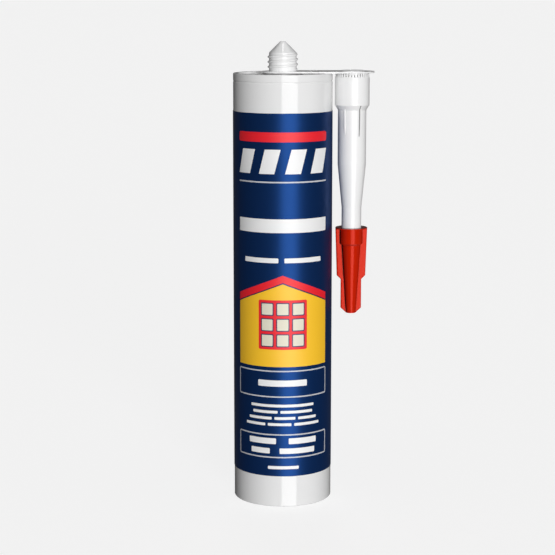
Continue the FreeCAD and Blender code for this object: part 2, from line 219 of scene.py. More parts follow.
def make_skin_group():
    """Build the group: noise darkens the colour, shifts the roughness and lifts the surface."""
    group = bpy.data.node_groups.new("moulded_skin", "ShaderNodeTree")
    add_socket(group, "Colour", "NodeSocketColor", "INPUT", (0.8, 0.8, 0.8, 1))
    add_socket(group, "Mottle", "NodeSocketFloat", "INPUT", 0.05)
    add_socket(group, "Roughness", "NodeSocketFloat", "INPUT", 0.3)
    add_socket(group, "Gloss change", "NodeSocketFloat", "INPUT", 0.05)
    add_socket(group, "Grain size", "NodeSocketFloat", "INPUT", 900.0)
    add_socket(group, "Draw lines", "NodeSocketFloat", "INPUT", 0.3)
    add_socket(group, "Colour", "NodeSocketColor", "OUTPUT")
    add_socket(group, "Roughness", "NodeSocketFloat", "OUTPUT")
    add_socket(group, "Height", "NodeSocketFloat", "OUTPUT")
    nodes, links = group.nodes, group.links
    given = nodes.new("NodeGroupInput")
    result = nodes.new("NodeGroupOutput")
    place = nodes.new("ShaderNodeTexCoord")
    grain = nodes.new("ShaderNodeTexNoise")
    grain.inputs["Detail"].default_value = 3
    links.new(place.outputs["Object"], grain.inputs["Vector"])
    links.new(given.outputs["Grain size"], grain.inputs["Scale"])
    cloud = nodes.new("ShaderNodeTexNoise")
    cloud.inputs["Scale"].default_value = 45
    cloud.inputs["Detail"].default_value = 2
    links.new(place.outputs["Object"], cloud.inputs["Vector"])
    stretch = nodes.new("ShaderNodeMapping")
    stretch.inputs["Scale"].default_value = (1, 1, 0.012)
    links.new(place.outputs["Object"], stretch.inputs["Vector"])
    lines = nodes.new("ShaderNodeTexNoise")
    lines.inputs["Scale"].default_value = 1500
    lines.inputs["Detail"].default_value = 1
    links.new(stretch.outputs["Vector"], lines.inputs["Vector"])
    shade = nodes.new("ShaderNodeMath")
    shade.operation = "MULTIPLY"
    links.new(cloud.outputs["Fac"], shade.inputs[0])
    links.new(given.outputs["Mottle"], shade.inputs[1])
    darker = nodes.new("ShaderNodeMix")
    darker.data_type = "RGBA"
    darker.blend_type = "MULTIPLY"
    darker.inputs["B"].default_value = (0.55, 0.55, 0.55, 1)
    links.new(shade.outputs["Value"], darker.inputs["Factor"])
    links.new(given.outputs["Colour"], darker.inputs["A"])
    links.new(darker.outputs["Result"], result.inputs["Colour"])
    centred = nodes.new("ShaderNodeMath")
    centred.operation = "SUBTRACT"
    centred.inputs[1].default_value = 0.5
    links.new(cloud.outputs["Fac"], centred.inputs[0])
    gloss = nodes.new("ShaderNodeMath")
    gloss.operation = "MULTIPLY_ADD"
    links.new(centred.outputs["Value"], gloss.inputs[0])
    links.new(given.outputs["Gloss change"], gloss.inputs[1])
    links.new(given.outputs["Roughness"], gloss.inputs[2])
    links.new(gloss.outputs["Value"], result.inputs["Roughness"])
    height = nodes.new("ShaderNodeMath")
    height.operation = "MULTIPLY_ADD"
    links.new(lines.outputs["Fac"], height.inputs[0])
    links.new(given.outputs["Draw lines"], height.inputs[1])
    links.new(grain.outputs["Fac"], height.inputs[2])
    links.new(height.outputs["Value"], result.inputs["Height"])
    return group


SKIN = make_skin_group()


# %% A material from the skin group
def moulded(name, colour, roughness=0.3, mottle=0.05, change=0.06, grain=900.0, lines=0.3,
            depth=0.006, painted_shade=None, fixed=()):
    """Make a material whose skin group feeds the colour, roughness and bump of one shader.

    Where a shade is given, the colour is multiplied by it as far as the
    surface's own stored value says: this is painted shade in slots, fillets, hollows and beside
    ribs.
    """
    material = bpy.data.materials.new(name)
    material.use_nodes = True
    nodes, links = material.node_tree.nodes, material.node_tree.links
    shader = nodes["Principled BSDF"]
    skin = nodes.new("ShaderNodeGroup")
    skin.node_tree = SKIN
    skin.inputs["Colour"].default_value = (*colour, 1)
    skin.inputs["Mottle"].default_value = mottle
    skin.inputs["Roughness"].default_value = roughness
    skin.inputs["Gloss change"].default_value = change
    skin.inputs["Grain size"].default_value = grain
    skin.inputs["Draw lines"].default_value = lines
    bump = nodes.new("ShaderNodeBump")
    bump.inputs["Strength"].default_value = 1.0
    bump.inputs["Distance"].default_value = depth * MM
    links.new(skin.outputs["Height"], bump.inputs["Height"])
    tone = skin.outputs["Colour"]
    if painted_shade is not None:
        painted_amount = nodes.new("ShaderNodeAttribute")
        painted_amount.attribute_name = "painted_shade"
        darker = nodes.new("ShaderNodeMix")
        darker.data_type = "RGBA"
        darker.blend_type = "MULTIPLY"
        darker.inputs["B"].default_value = (painted_shade, painted_shade, painted_shade, 1)
        links.new(painted_amount.outputs["Fac"], darker.inputs["Factor"])
        links.new(tone, darker.inputs["A"])
        tone = darker.outputs["Result"]
    links.new(tone, shader.inputs["Base Color"])
    links.new(skin.outputs["Roughness"], shader.inputs["Roughness"])
    links.new(bump.outputs["Normal"], shader.inputs["Normal"])
    for socket, value in fixed:
        shader.inputs[socket].default_value = value
    return material


# %% [markdown]
# ## The finishes
# The shell is white polyethylene with a crisp gloss, and the strap and the
# nozzle are a little softer in gloss. The cap is the same plastic in red: its
# gloss is tinted red too, because a clear one would turn its wings pink. The
# label's blue is a dark ink with a metal pigment, so it lights up only where
# a lamp's mirror image falls, while its other colours are plain opaque inks.

# %% Finishes of the moulded pieces
# For the shell, the nozzle and the cap, the last number sets how dark their painted shade goes.
WHITE = moulded("white_polyethylene", (0.87, 0.87, 0.87), roughness=0.05, mottle=0.03,
                change=0.02, painted_shade=0.3)
NOZZLE_WHITE = moulded("nozzle_polyethylene", (0.93, 0.93, 0.93), roughness=0.28, mottle=0.02,
                       change=0.02, painted_shade=0.3)
RED = moulded("red_polyethylene", (0.58, 0.015, 0.001), roughness=0.2, mottle=0.08, painted_shade=0.06,
              fixed=(("Specular IOR Level", 0.62), ("Specular Tint", (1.0, 0.22, 0.18, 1))))
SOFT_WHITE = moulded("soft_polyethylene", (0.78, 0.78, 0.75), roughness=0.42, mottle=0.08)
SEALANT = moulded("white_sealant", (0.8, 0.8, 0.78), roughness=0.5, mottle=0.1, grain=300.0,
                  lines=0.0)

# %% Finishes of the label
INK_GRAIN = 2500.0


def ink_finish(name, colour, roughness, mottle, **more):
    """Make a finish with the fine grain that every ink has."""
    return moulded(name, colour, roughness=roughness, mottle=mottle, grain=INK_GRAIN, **more)


BLUE_INK = ink_finish("blue_metallic_ink", (0.0085, 0.0385, 0.15), 0.36, 0.1, lines=0.1,
                      fixed=(("Metallic", 0.6), ("Specular IOR Level", 0.04)))
WHITE_INK = ink_finish("white_ink", (0.9, 0.9, 0.9), 0.45, 0.03)
GREY_INK = ink_finish("light_grey_ink", (0.58, 0.59, 0.63), 0.45, 0.03)
RED_INK = ink_finish("red_ink", (0.85, 0.01, 0.022), 0.5, 0.05)
YELLOW_INK = ink_finish("yellow_ink", (0.98, 0.56, 0.02), 0.5, 0.03)
PALE_INK = ink_finish("pale_ink", (0.78, 0.74, 0.6), 0.5, 0.05)
NAVY_INK = ink_finish("navy_ink", (0.012, 0.03, 0.1), 0.4, 0.05)

# %% [markdown]
# ## The shell
# The barrel, its recessed head, the neck and the closed cone are moulded as
# one, so they are one skin. It starts at the end of the neck's passage, runs
# down inside the barrel, turns round the rear rim, goes up the outside, over
# the head and up the neck to the tip. The thread is not a separate coil: the
# skin's radius swells where the height and the angle fall on a helix, and
# fades in and out over the first and last part of a turn, as cut moulds do.

# %% Sizes of the shell
BARREL_WALL = 1.5 * MM
MOUTH_RADIUS = 23.55 * MM
MOUTH_DEPTH = 8.0 * MM
HEAD_DROP = 1.3 * MM
HEAD_THICKNESS = 2.0 * MM
RIM_WIDTH = 2.2 * MM
GROOVE_DROP = 3.45 * MM
GROOVE_WIDTH = 0.9 * MM
GROOVE_DEPTH = 0.25 * MM
BOSS_RADIUS = 10.2 * MM
SEAT_RADIUS = 7.0 * MM
STEM_RADIUS = 6.85 * MM
STEM_HEIGHT = 10.0 * MM
TIP_RADIUS = 1.3 * MM
PASSAGE_RADIUS = 5.2 * MM
TIP_WALL = 1.2 * MM
THREAD_PITCH = 2.5 * MM
THREAD_START = 1.65 * MM
THREAD_TURNS = 3.0
THREAD_HEIGHT = 0.7 * MM
THREAD_ROOT = 1.5 * MM
THREAD_CREST = 0.45 * MM
THREAD_FADE = 0.12
TIP_RIB_WIDTH = 0.7 * MM
TIP_RIB_FLANK = 0.1 * MM
TIP_RIB_HEIGHT = 0.25 * MM
SHELL_COLUMNS = 400
THREAD_STEP = 0.16 * MM
CONE_STEP = 0.25 * MM


# %% The thread and the tip's rib as added radius
def thread_swell(angle, height):
    """Height of the thread above its stem.

    The number of turns up to a point, less its share of the turn, is a whole
    number on the ridge. The distance from the nearest whole number, times the
    pitch, is how far up the flank the point lies.
    """
    turns = (height - RIM_HEIGHT - THREAD_START) / THREAD_PITCH - angle / TURN
    nearest = np.round(turns)
    along = nearest + angle / TURN
    away = np.abs(turns - nearest) * THREAD_PITCH
    flank = eased((THREAD_ROOT / 2 - away) / ((THREAD_ROOT - THREAD_CREST) / 2))
    fade = eased(along / THREAD_FADE + 0.5) * eased((THREAD_TURNS - along) / THREAD_FADE + 0.5)
    return THREAD_HEIGHT * flank * fade


def rib_swell(angle, height, radius):
    """Height of the thin flat-topped rib, of even width, up the front and back of the cone."""
    across = np.abs(radius * np.cos(angle))
    side = eased((TIP_RIB_WIDTH / 2 - across) / TIP_RIB_FLANK)
    start = eased((height - RIM_HEIGHT - STEM_HEIGHT) / (0.4 * MM))
    flat = (radius + TIP_RIB_HEIGHT) * (1 / np.maximum(0.5, np.abs(np.sin(angle))) - 1)
    return (TIP_RIB_HEIGHT + flat) * side * start


# %% The shell's skin
def make_shell():
    """Carry the half section round the axis, with the thread and the rib added to its radius."""
    bore = BARREL_RADIUS - BARREL_WALL
    head = RIM_HEIGHT - HEAD_DROP
    under = head - HEAD_THICKNESS
    shoulder = RIM_HEIGHT + STEM_HEIGHT
    groove = RIM_HEIGHT - GROOVE_DROP
    corners = [
        (0.2 * MM, TIP_HEIGHT - TIP_WALL, 0),
        (PASSAGE_RADIUS, shoulder - TIP_WALL, 0.5 * MM),
        (PASSAGE_RADIUS, under, 0.5 * MM),
        (bore, under, 1.5 * MM),
        (bore, MOUTH_DEPTH, 0),
        (MOUTH_RADIUS, MOUTH_DEPTH - 0.5 * MM, 0),
        (MOUTH_RADIUS, 0, 0.2 * MM),
        (BARREL_RADIUS, 0, 0.5 * MM),
        (BARREL_RADIUS, groove - GROOVE_WIDTH, 0.15 * MM),
        (BARREL_RADIUS - GROOVE_DEPTH, groove - GROOVE_WIDTH / 2, 0.3 * MM),
        (BARREL_RADIUS, groove, 0.15 * MM),
        (BARREL_RADIUS, RIM_HEIGHT, 0.5 * MM),
        (BARREL_RADIUS - RIM_WIDTH, RIM_HEIGHT, 0.3 * MM),
        (BARREL_RADIUS - RIM_WIDTH, head, 0.3 * MM),
        (BOSS_RADIUS + 1.2 * MM, head, 0),
        (BOSS_RADIUS, head, 0.3 * MM),
        (BOSS_RADIUS, RIM_HEIGHT, 0.2 * MM),
        (SEAT_RADIUS, RIM_HEIGHT, 0.1 * MM),
        (SEAT_RADIUS, STRAP_TOP, 0.1 * MM),
        (STEM_RADIUS, STRAP_TOP, 0.05 * MM),
        (STEM_RADIUS, shoulder, 0.4 * MM),
        (TIP_RADIUS, TIP_HEIGHT, 0.35 * MM),
        (0.1 * MM, TIP_HEIGHT, 0),
    ]
    section = rounded_section(corners)
    turn = np.argmax(section[:, 0])
    outer = refined(section[turn:], STRAP_TOP + 0.05 * MM, shoulder, 0, SEAT_RADIUS, THREAD_STEP)
    outer = refined(outer, shoulder, TIP_HEIGHT, 0, SEAT_RADIUS, CONE_STEP)
    section = np.concatenate([section[:turn], outer])
    angle = np.linspace(0, TURN, SHELL_COLUMNS, endpoint=False)[None, :]
    radius, height = section[:, :1], section[:, 1:]
    outside = np.arange(len(section))[:, None] > len(section) // 3
    stem = outside & (height > STRAP_TOP) & (height < shoulder + 0.2 * MM) & (radius > TIP_RADIUS)
    cone = outside & (height > shoulder - 0.2 * MM)
    reach = radius + np.where(stem, thread_swell(angle, height), 0)
    reach = reach + np.where(cone, rib_swell(angle, height, radius), 0)
    up = np.broadcast_to(height, reach.shape)
    grid = np.stack([reach * np.cos(angle), reach * np.sin(angle), up], axis=-1)
    start = (0, 0, TIP_HEIGHT - TIP_WALL)
    end = (0, 0, TIP_HEIGHT)
    piece = closed_skin("cartridge_shell", grid, start, end, "cartridge")
    # Painted shade: the boss's side wall in the head's hollow and its foot are darkened in colour,
    # fading over the floor beside it.
    sunk = (height > head - 0.05 * MM) & (height < RIM_HEIGHT - 0.12 * MM)
    foot = (radius > BOSS_RADIUS - 0.05 * MM) & (radius < BOSS_RADIUS + 0.35 * MM)
    store_painted_shade(piece, np.broadcast_to(outside & sunk & foot, reach.shape))
    return piece


shell = make_shell()
smooth(shell)
shell.data.materials.append(WHITE)
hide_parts("cartridge_barrel")

# %% [markdown]
# ## The label
# The print lies on a film wrapped once round the barrel, with its ends almost
# meeting at the back. The film is a thin closed wall, so it is a grid of four
# lines, inside and outside, carried round from one end to the other. Each
# colour on it is a thin layer of ink with a real edge, made the same way: a
# low line and a high line are drawn against the distance round the barrel, and
# that pair is wrapped on. Crisp shapes stay crisp at any distance this way.

# %% Wrapping a flat drawing round the barrel
FILM_THICKNESS = 0.12 * MM
SEAM = 0.4 * MM
INK_LIFT = 0.015 * MM
INK_SINK = 0.02 * MM
FRONT = -TURN / 4


def wrapped(across, height, radius):
    """Bend a flat drawing on to a drum: the distance across becomes an angle from the front."""
    angle = FRONT + across / LABEL_RADIUS
    return np.stack([radius * np.cos(angle), radius * np.sin(angle), height + 0 * angle], axis=-1)


def strip(across, low, high, inner, outer):
    """Give the points and faces of a thin closed wall between a low and a high line."""
    sides = [(low, inner), (low, outer), (high, outer), (high, inner)]
    rings = np.stack([wrapped(across, line + 0 * across, radius) for line, radius in sides], axis=1)
    count = len(across)
    faces = [face[::-1] for face in grid_faces(count, 4)]
    faces += [[0, 1, 2, 3], [4 * count - 1, 4 * count - 2, 4 * count - 3, 4 * count - 4]]
    return rings.reshape(-1, 3), faces


def joined_piece(name, shapes, body):
    """Join several sets of points and faces into one piece."""
    points, faces, first = [], [], 0
    for spots, around in shapes:
        points.append(spots)
        faces += [[first + corner for corner in face] for face in around]
        first += len(spots)
    return new_piece(name, np.concatenate(points), faces, body)


def columns_for(width, step=0.4 * MM):
    """Count the columns that keep a curved strip smooth."""
    return max(3, math.ceil(width / step) + 1)


# %% The film
FILM_COLUMNS = 361
film_half = math.pi * LABEL_RADIUS - SEAM / 2
film_run = np.linspace(-film_half, film_half, FILM_COLUMNS)
film_wall = strip(film_run, label_low.z, label_high.z, LABEL_RADIUS - FILM_THICKNESS, LABEL_RADIUS)
film = joined_piece("label_film", [film_wall], "cartridge")
smooth(film, 20)
film.data.materials.append(BLUE_INK)
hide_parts("printed_label")

# %% [markdown]
# ## Shapes for the print
# The print is a generic design: bars stand where lines of words would be, and
# a tile pattern stands where a picture would be. A bar has rounded ends, a
# frame is a line of even width round a rounded rectangle, and the gable
# shapes have a straight slope to each side of the middle.

# %% Bars, frames and gables
def ink(across, low, high, layer=1):
    """Lay a shape of ink on the film; a higher layer is printed over a lower one."""
    return strip(across, low, high, LABEL_RADIUS - INK_SINK, LABEL_RADIUS + layer * INK_LIFT)


def bar(left, right, low, high, corner=0.4 * MM, layer=1):
    """A solid bar whose corners are quarter circles."""
    corner = min(corner, (high - low) / 2, (right - left) / 2)
    bend = corner * (1 - np.cos(np.linspace(0, math.pi / 2, 6)))
    middle = np.linspace(left + corner, right - corner, columns_for(right - left))
    across = np.concatenate([left + bend, middle[1:-1], right - bend[::-1]])
    near = np.minimum(across - left, right - across)
    inset = corner - np.sqrt(np.maximum(0, corner ** 2 - np.maximum(0, corner - near) ** 2))
    return ink(across, low + inset, high - inset, layer)


def frame_line(half, low, high, corner, width, layer=1):
    """A line of even width round a rounded rectangle, as a closed ring of four-sided sections."""
    across = half - corner
    centres = [(across, high - corner), (-across, high - corner),
               (-across, low + corner), (across, low + corner)]
    outline = []
    for number, (x, z) in enumerate(centres):
        turn = np.linspace(number, number + 1, 8) * math.pi / 2
        outline.append(np.stack([x + corner * np.cos(turn), z + corner * np.sin(turn)], axis=-1))
        following = centres[(number + 1) % 4]
        ending = outline[-1][-1]
        target = np.array(following) + corner * np.array([math.cos(turn[-1]), math.sin(turn[-1])])
        share = np.linspace(0, 1, columns_for(np.abs(target - ending).max()))[1:-1, None]
        outline.append(ending + (target - ending) * share)
    line = np.concatenate(outline)
    ahead = np.roll(line, -1, axis=0) - np.roll(line, 1, axis=0)
    ahead /= np.linalg.norm(ahead, axis=1, keepdims=True)
    outward = np.stack([ahead[:, 1], -ahead[:, 0]], axis=-1) * width / 2
    inner, outer = LABEL_RADIUS - INK_SINK, LABEL_RADIUS + layer * INK_LIFT
    left, right = line - outward, line + outward
    sides = [(left, inner), (left, outer), (right, outer), (right, inner)]
    rings = np.stack([wrapped(side[:, 0], side[:, 1], radius) for side, radius in sides], axis=1)
    count = len(line)
    faces = np.array(grid_faces(count + 1, 4)) % (4 * count)
    return rings.reshape(-1, 3), faces.tolist()


def gable(half, low, shoulder, peak, thickness=None):
    """A field under a roof line, or only the sloping band of a given thickness under it."""
    across = np.linspace(-half, half, 2 * columns_for(half) + 1)
    roof = peak - (peak - shoulder) * np.abs(across) / half
    floor = np.full(len(across), low) if thickness is None else roof - thickness
    return ink(across, floor, roof)


def slanted(left, right, low, high, lean):
    """A block whose two ends lean by the same amount, as a strip with cut corners."""
    across = np.unique(np.concatenate([np.linspace(left, right, columns_for(right - left)),
                                       [left + lean, right - lean]]))
    rise = (high - low) / lean
    top = np.minimum(high, low + (across - left) * rise)
    bottom = np.maximum(low, high - (right - across) * rise)
    return ink(across, bottom, top)


# %% [markdown]
# ## The print
# Heights are above the base and widths are measured round the barrel from its
# front. The panel is as wide as the real one, a little over a quarter of the
# way round to each side.

# %% Heights and widths of the print
PANEL = 25.6 * MM
LINE = 0.65 * MM


def heights(low, high):
    """Turn two heights in millimetres into metres."""
    return low * MM, high * MM


def words(spans, low, high):
    """Bars in place of words, each span given as its two ends across the panel in millimetres."""
    return [bar(left * MM, right * MM, low * MM, high * MM) for left, right in spans]


# %% The heading: a red band over four leaning blocks
white_print = []
red_print = [bar(-PANEL, PANEL, *heights(184.2, 189.0), corner=1.2 * MM)]
block = 11.2 * MM
for number in range(4):
    left = -PANEL + number * (2 * PANEL - block) / 3
    white_print.append(slanted(left, left + block, *heights(168.6, 180.6), 3.2 * MM))
grey_print = [bar(-PANEL, PANEL, *heights(164.2, 164.9), corner=0.3 * MM)]

# %% The title and subtitle, as bars
white_print += words([(-25.4, 25.4)], 139.6, 146.4)
white_print += words([(-21.0, -2.2), (0.8, 21.2)], 124.6, 127.0)

# %% The gable: a red roof band over a yellow field
ROOF_SLOPE = 10.1 * MM
red_print.append(gable(PANEL, 0, 118.4 * MM - ROOF_SLOPE, 118.4 * MM, thickness=3.7 * MM))
yellow_print = [gable(PANEL, 72.2 * MM, 114.1 * MM - ROOF_SLOPE, 114.1 * MM)]

# %% The boxes and the lines of words, as bars
grey_print.append(frame_line(PANEL, *heights(56.9, 70.0), 0.8 * MM, LINE))
white_print += words([(-12.8, 12.6)], 62.2, 65.4)
white_print += words([(-17.0, 16.6)], 51.6, 53.0)
white_print += words([(-15.8, -2.6), (-1.2, 15.8)], 48.4, 49.8)
white_print += words([(-18.2, -5.6), (-4.2, 6.4), (7.8, 18.2)], 45.2, 46.6)
white_print += words([(-20.2, -9.0), (-7.6, 4.4), (5.8, 20.2)], 42.0, 43.4)
grey_print.append(frame_line(PANEL, *heights(25.7, 37.4), 0.8 * MM, LINE))
white_print += words([(-18.2, -3.4), (3.0, 18.2)], 32.6, 35.6)
white_print += words([(-17.0, -6.6), (-1.6, 17.2)], 27.6, 30.4)
white_print += words([(-7.6, 8.2)], 19.6, 21.2)

# %% [markdown]
# ## The tile pattern
# The picture on the yellow field is left to a plain pattern of wall tiles
# with red joints between them: pale tiles, each with a navy edge.

# %% Tiles and joints
TILE = 6.6 * MM
JOINT = 1.3 * MM
TILE_EDGE = 0.5 * MM
TILES = 3
tile_low = 81.0 * MM
tiles_wide = TILES * TILE + (TILES + 1) * JOINT
red_print.append(bar(-tiles_wide / 2, tiles_wide / 2, tile_low, tile_low + tiles_wide,
                     corner=0.8 * MM, layer=2))
navy_print = []
pale_print = []
for row in range(TILES):
    for column in range(TILES):
        left = column * (TILE + JOINT) + JOINT - tiles_wide / 2
        low = tile_low + JOINT + row * (TILE + JOINT)
        right, high = left + TILE, low + TILE
        navy_print.append(bar(left, right, low, high, corner=0.6 * MM, layer=3))
        pale_print.append(bar(left + TILE_EDGE, right - TILE_EDGE,
                              low + TILE_EDGE, high - TILE_EDGE, layer=4))

# %% Lay each colour on the film
for name, shapes, finish in (
        ("print_white", white_print, WHITE_INK), ("print_grey", grey_print, GREY_INK),
        ("print_red", red_print, RED_INK), ("print_yellow", yellow_print, YELLOW_INK),
        ("print_pale", pale_print, PALE_INK), ("print_navy", navy_print, NAVY_INK)):
    layer = joined_piece(name, shapes, "cartridge")
    smooth(layer, 30)
    layer.data.materials.append(finish)

# %% [markdown]
# ## The nozzle
# The nozzle hangs mouth up: a short toothed crown, a wide collar with the
# thread inside it, a body with four thin ribs under its shoulder, and a long
# taper that ends inside the cap. Teeth and ribs are again only changes of the
# skin's radius with angle and depth, so the nozzle stays one closed skin, with
# its passage inside.

# %% Sizes of the nozzle
CROWN_RADIUS = 8.42 * MM
CROWN_HEIGHT = 1.9 * MM
TEETH = 36
TOOTH_DEPTH = 0.75 * MM
TOOTH_GAP = 0.2
TOOTH_FLANK = 0.03
COLLAR_RADIUS = (nozzle_high.x - nozzle_low.x) / 2
COLLAR_LENGTH = 15.9 * MM
COLLAR_SLOPE = 2.5 * MM
BODY_RADIUS = 7.1 * MM
BODY_END = 45.5 * MM
TAPER_END = 67.4 * MM
SPIGOT_RADIUS = 4.95 * MM
SPIGOT_END = 84.9 * MM
SPOUT_RADIUS = 3.7 * MM
NOZZLE_LENGTH = nozzle_high.z - nozzle_low.z
OUTLET_RADIUS = 1.75 * MM
OUTLET_BORE = 0.9 * MM
NOZZLE_WALL = 0.95 * MM
COLLAR_BORE = 7.05 * MM
INNER_THREAD_DEPTH = 9.0 * MM
RIB_ANGLE = math.radians(33)
RIB_WIDTH = 0.9 * MM
RIB_HEIGHT = 0.5 * MM
RIB_FLANK = 0.06 * MM
RIB_END = 31.0 * MM
RIB_RUNOUT = 4.5 * MM
# Painted shade beside the ribs: its width, the side of each rib it lies on, and its strength, full
# at the right-hand ribs and faint at the left-hand ones.
RIB_SHADE_WIDTH = 0.5 * MM
RIBS = (FRONT - RIB_ANGLE, FRONT + RIB_ANGLE, -FRONT - RIB_ANGLE, -FRONT + RIB_ANGLE)
RIB_SHADE_SIDES = (1, -1, 1, -1)
RIB_SHADE_STRENGTHS = (0.1, 1.0, 1.0, 0.1)


# %% Teeth, ribs and inner thread as changes of radius
def tooth_dip(angle, depth):
    """Depth of the gaps between the crown's teeth: a narrow valley repeated round the rim."""
    place = (angle * TEETH / TURN) % 1.0
    valley = np.clip((TOOTH_GAP - np.abs(place - 0.5)) / TOOTH_FLANK, 0, 1)
    above = eased((CROWN_HEIGHT - depth) / (0.1 * MM))
    return TOOTH_DEPTH * valley * above


def rib_rise(angle, depth, radius):
    """Height of the four ribs, which lean out of the shoulder and run out down the body."""
    rise = 0
    for rib in RIBS:
        away = np.abs((angle - rib + math.pi) % TURN - math.pi) * BODY_RADIUS
        rise = rise + np.clip((RIB_WIDTH / 2 - away) / RIB_FLANK, 0, 1)
    runout = np.clip((RIB_END - depth) / RIB_RUNOUT, 0, 1)
    top = BODY_RADIUS + RIB_HEIGHT * runout
    below = (depth > COLLAR_LENGTH) & (depth < RIB_END)
    return np.where(below, np.maximum(0, top - radius) * rise, 0)


def rib_foot(angle, depth):
    """Painted shade at each rib's foot, on the side towards the middle, as far down as the rib
    goes:
    full beside the two ribs on the right and faint beside the two on the left.
    """
    shade = 0
    for rib, side, share in zip(RIBS, RIB_SHADE_SIDES, RIB_SHADE_STRENGTHS):
        out = side * ((angle - rib + math.pi) % TURN - math.pi) * BODY_RADIUS - RIB_WIDTH / 2
        shade = shade + share * (out > -0.001 * MM) * np.clip((RIB_SHADE_WIDTH - out) / (0.12 * MM), 0, 1)
    return shade * ((depth > COLLAR_LENGTH) & (depth < RIB_END))


def nozzle_columns():
    """Angles round the nozzle: ten to a tooth, with one at the foot and the top of every flank."""
    flat = TOOTH_GAP - TOOTH_FLANK
    sides = np.array([0.5 - TOOTH_GAP, 0.5 - flat, 0.5 + flat, 0.5 + TOOTH_GAP])
    places = np.sort(np.concatenate([[0.0, 0.11, 0.22, 0.5, 0.78, 0.89], sides]))
    teeth = (np.arange(TEETH)[:, None] + places[None, :]).ravel() * TURN / TEETH
    foot = RIB_WIDTH / 2 / BODY_RADIUS
    top = foot - RIB_FLANK / BODY_RADIUS
    ribs = [(rib + side) % TURN for rib in RIBS for side in (-foot, -top, top, foot)]
    return np.unique(np.concatenate([teeth, ribs]))


def inner_thread_cut(angle, depth):
    """Depth of the thread's groove in the collar's wall, which fits the neck's ridge."""
    turns = -depth / THREAD_PITCH - angle / TURN
    away = np.abs(turns - np.round(turns)) * THREAD_PITCH
    groove = eased((THREAD_ROOT / 2 + 0.1 * MM - away) / ((THREAD_ROOT - THREAD_CREST) / 2))
    end = eased((INNER_THREAD_DEPTH - depth) / (0.6 * MM))
    return THREAD_HEIGHT * groove * end


# %% The nozzle's skin
def make_nozzle():
    """Carry the half section round the nozzle's own axis; depths count down from its mouth."""
    shoulder = COLLAR_LENGTH + COLLAR_SLOPE
    spout = SPIGOT_END + SPIGOT_RADIUS - SPOUT_RADIUS
    outside = [
        (OUTLET_BORE, NOZZLE_LENGTH, 0),
        (OUTLET_RADIUS, NOZZLE_LENGTH, 0.25 * MM),
        (SPOUT_RADIUS, spout, 0.3 * MM),
        (SPIGOT_RADIUS, SPIGOT_END, 0.3 * MM),
        (SPIGOT_RADIUS, TAPER_END, 6.0 * MM),
        (BODY_RADIUS, BODY_END, 8.0 * MM),
        (BODY_RADIUS, shoulder, 0.6 * MM),
        (COLLAR_RADIUS, COLLAR_LENGTH, 0.6 * MM),
        (COLLAR_RADIUS, CROWN_HEIGHT + 0.23 * MM, 0.2 * MM),
        (CROWN_RADIUS, CROWN_HEIGHT, 0),
        (CROWN_RADIUS, 0, 0.2 * MM),
        (COLLAR_BORE + 0.25 * MM, 0, 0.05 * MM),
    ]
    inside = [
        (COLLAR_BORE, 0.5 * MM, 0.1 * MM),
        (COLLAR_BORE, COLLAR_LENGTH, 0.3 * MM),
        (BODY_RADIUS - NOZZLE_WALL, COLLAR_LENGTH, 0.2 * MM),
        (BODY_RADIUS - NOZZLE_WALL, BODY_END, 1.0 * MM),
        (SPIGOT_RADIUS - NOZZLE_WALL, BODY_END + BODY_RADIUS - SPIGOT_RADIUS, 1.0 * MM),
        (SPIGOT_RADIUS - NOZZLE_WALL, SPIGOT_END, 0.2 * MM),
        (SPOUT_RADIUS - NOZZLE_WALL, SPIGOT_END, 0.3 * MM),
    ]
    section = rounded_section(outside + inside + [outside[0]])[:-1]
    bare = BODY_RADIUS - 0.01 * MM
    section = refined(section, 0.05 * MM, CROWN_HEIGHT, bare, COLLAR_RADIUS, 0.3 * MM)
    threaded = INNER_THREAD_DEPTH + 0.5 * MM
    section = refined(section, 0.05 * MM, threaded, 0, COLLAR_BORE + 0.1 * MM, 0.3 * MM)
    section = refined(section, COLLAR_LENGTH, RIB_END, bare, COLLAR_RADIUS, 0.6 * MM)
    angle = nozzle_columns()[None, :]
    radius, depth = section[:, :1], section[:, 1:]
    outer = np.arange(len(section))[:, None] <= np.argmin(depth)
    crown = (radius > COLLAR_BORE + 0.4 * MM) & (depth < CROWN_HEIGHT)
    bore = ~outer & (radius > BODY_RADIUS - NOZZLE_WALL + 0.3 * MM)
    dip = np.where(crown, tooth_dip(angle, depth), 0)
    reach = radius - dip
    reach = reach + np.where(outer, rib_rise(angle, depth, radius), 0)
    reach = reach + np.where(bore, inner_thread_cut(angle, depth), 0)
    up = np.broadcast_to(nozzle_high.z - depth, reach.shape)
    grid = np.stack([NOZZLE_X + reach * np.cos(angle), reach * np.sin(angle), up], axis=-1)
    piece = ring_skin("nozzle_skin", grid, "nozzle")
    # Painted shade: the slots between the teeth, darker with their depth, and a line beside the
    # ribs' feet.
    store_painted_shade(piece, np.maximum(dip / TOOTH_DEPTH, outer * rib_foot(angle, depth)))
    return piece


nozzle = make_nozzle()
smooth(nozzle)
nozzle.data.materials.append(NOZZLE_WHITE)
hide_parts("nozzle")

# %% [markdown]
# ## The cap
# The cap is a blind tube with a flange round its mouth and two flat wings to
# grip. Seen from above, its section is a circle with a flat bar through it, so
# the skin follows that section: along the end of a wing, round its edge, back
# along its side, through a small fillet and round the tube. Every section has
# the same number of points in each stretch, so the edges run true from the
# mouth to the tip.

